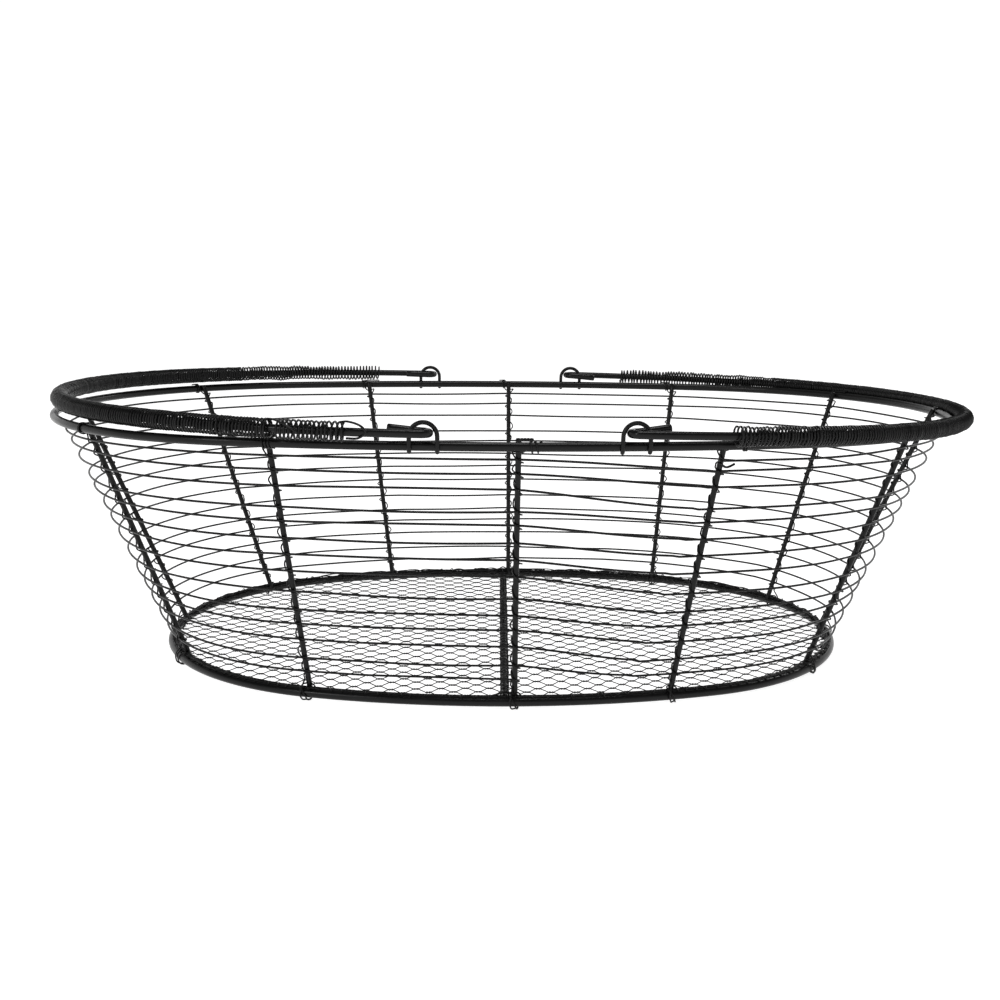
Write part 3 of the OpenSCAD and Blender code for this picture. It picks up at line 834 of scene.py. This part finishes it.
def left_grip(left):
    wire = WireMesh()
    front, back = left.angle_at(LEFT_GRIP_END, 1), left.angle_at(LEFT_GRIP_END, -1)
    loose = left.angle_at(195, -1)
    # The left handle's drawing is turned half round, so its front is on the drawing's +Y side
    coil(wire, left, back, loose, (2.4, -0.5), 4.7, 0.3, ease=0.4)
    coil(wire, left, loose, left.angle_at(132, 1), (1.45, 0.45), 4.75, 0.1)
    coil(wire, left, left.angle_at(129, 1), front, (2.3, 0.0), 4.8, 0.15)
    for points in LEFT_COIL_ENDS:
        line = left.line(np.array([left.angle_at(x, 1) for x, _, _ in points]))
        line[:, 2] += [up for _, up, _ in points]
        line[:, 1] += [out for _, _, out in points]
        wire.add(smooth_path(left.placed(line), 0.6), COIL_WIRE / 2, COIL_SIDES)
    wire.build("left_grip_coil", "left_handle", COIL_PAINT, ["left_grip"])


def right_grip(right):
    wire = WireMesh()
    front, back = right.angle_at(RIGHT_GRIP_FRONT_END, -1), right.angle_at(RIGHT_GRIP_BACK_END, 1)
    coil(wire, right, front, right.angle_at(150, -1), (2.2, -0.5), 4.75, 0.25)
    tight, loose = right.angle_at(149, -1), right.angle_at(205, 1)
    coil(wire, right, tight, loose, (1.7, -0.3), 4.7, 0.1)
    coil(wire, right, right.angle_at(206, 1), back, (1.7, 0.7), 4.7, 0.3, ease=0.4)
    wire.build("right_grip_coil", "right_handle", COIL_PAINT, ["right_grip"])


# ---------------------------------------------------------------- stage, light and camera


# The floor is lit from below too, like a light table, so that it stays white in the basket's shadow
FLOOR_GLOW = 0.88
HORIZON_LIGHT = 1.04
CEILING_LIGHT = 0.22


def stage():
    mesh = bpy.data.meshes.new("floor")
    half = 60.0  # metres, so that the floor's edge lies close to the horizon
    corners = [(-half, -half, 0), (half, -half, 0), (half, half, 0), (-half, half, 0)]
    mesh.from_pydata(corners, [], [(0, 1, 2, 3)])
    floor = bpy.data.objects.new("floor", mesh)
    bpy.context.scene.collection.objects.link(floor)
    material = bpy.data.materials.new("pale_floor")
    material.use_nodes = True
    shader = material.node_tree.nodes["Principled BSDF"]
    shader.inputs["Base Color"].default_value = (0.6, 0.6, 0.6, 1)
    shader.inputs["Roughness"].default_value = 0.9
    shader.inputs["Specular IOR Level"].default_value = 0.0
    shader.inputs["Emission Color"].default_value = (1.0, 1.0, 1.0, 1)
    shader.inputs["Emission Strength"].default_value = FLOOR_GLOW
    mesh.materials.append(material)


def area_light(name, place, aim, size, power):
    light = bpy.data.lights.new(name, "AREA")
    light.shape = "RECTANGLE"
    light.size, light.size_y = size
    light.energy = power
    lamp = bpy.data.objects.new(name, light)
    bpy.context.scene.collection.objects.link(lamp)
    lamp.location = place
    lamp.rotation_euler = (Vector(aim) - Vector(place)).to_track_quat("-Z", "Y").to_euler()


def lighting():
    world = bpy.data.worlds.new("studio")
    bpy.context.scene.world = world
    world.use_nodes = True
    nodes, links = world.node_tree.nodes, world.node_tree.links
    place = nodes.new("ShaderNodeTexCoord")
    parts = nodes.new("ShaderNodeSeparateXYZ")
    tone = nodes.new("ShaderNodeMapRange")
    tone.interpolation_type = "SMOOTHSTEP"
    tone.inputs["From Min"].default_value = 0.26
    tone.inputs["From Max"].default_value = 0.5
    tone.inputs["To Min"].default_value = HORIZON_LIGHT
    tone.inputs["To Max"].default_value = CEILING_LIGHT
    links.new(place.outputs["Generated"], parts.inputs["Vector"])
    links.new(parts.outputs["Z"], tone.inputs["Value"])
    links.new(tone.outputs["Result"], nodes["Background"].inputs["Strength"])
    nodes["Background"].inputs["Color"].default_value = (1.0, 1.0, 1.0, 1)
    area_light("overhead", (0.1, -0.2, 1.7), (0, 0, 0.1), (0.8, 0.5), 9.0)
    area_light("front_left", (-1.2, -1.4, 1.1), (0, 0, 0.08), (0.5, 0.5), 7.0)
    area_light("back_right", (1.1, 1.3, 1.1), (0, 0, 0.1), (0.4, 0.4), 5.0)


def camera():
    """The camera stands a little left of the basket's front and looks down on it."""
    # The lens is in pixels of an image 1000 wide. The distance in front of the basket's middle, the height
    # above the base ring and the shift aside are in millimetres, before the yaw. The turns are in radians.
    lens_px, distance, height = 1293.7, 830.4, 235.8
    pitch, roll, yaw, aside = 0.1792, 0.0099, 0.0446, -2.59
    data = bpy.data.cameras.new("camera")
    data.sensor_width = 36.0
    data.lens = lens_px / 1000.0 * data.sensor_width
    data.clip_start, data.clip_end = 0.05, 200.0
    cam = bpy.data.objects.new("camera", data)
    bpy.context.scene.collection.objects.link(cam)
    turn = Matrix.Rotation(-yaw, 4, "Z")
    place = turn @ Vector((aside, -distance, height + BASE.z)) * MM
    tilt = Matrix.Rotation(math.pi / 2 - pitch, 4, "X") @ Matrix.Rotation(roll, 4, "Z")
    cam.matrix_world = Matrix.Translation(place) @ turn @ tilt
    bpy.context.scene.camera = cam


all_ribs = [Rib(i) for i in range(1, 2 * SIDE_RIBS + 3)]
rings()
ribs(all_ribs)
side_wire(all_ribs)
lashings(all_ribs)
floor_mesh()
brace()
staples()
# Each handle's side, reach, end radius, and how many degrees it leans up (or, below zero, down) at rest
left = Handle(-1, 280.5, 164.0, 0.85)
right = Handle(1, 283.0, 172.0, -1.2)
for handle in (left, right):
    handle_rod(handle)
left_grip(left)
right_grip(right)
stage()
lighting()
camera()
bpy.context.scene.view_settings.view_transform = "Standard"
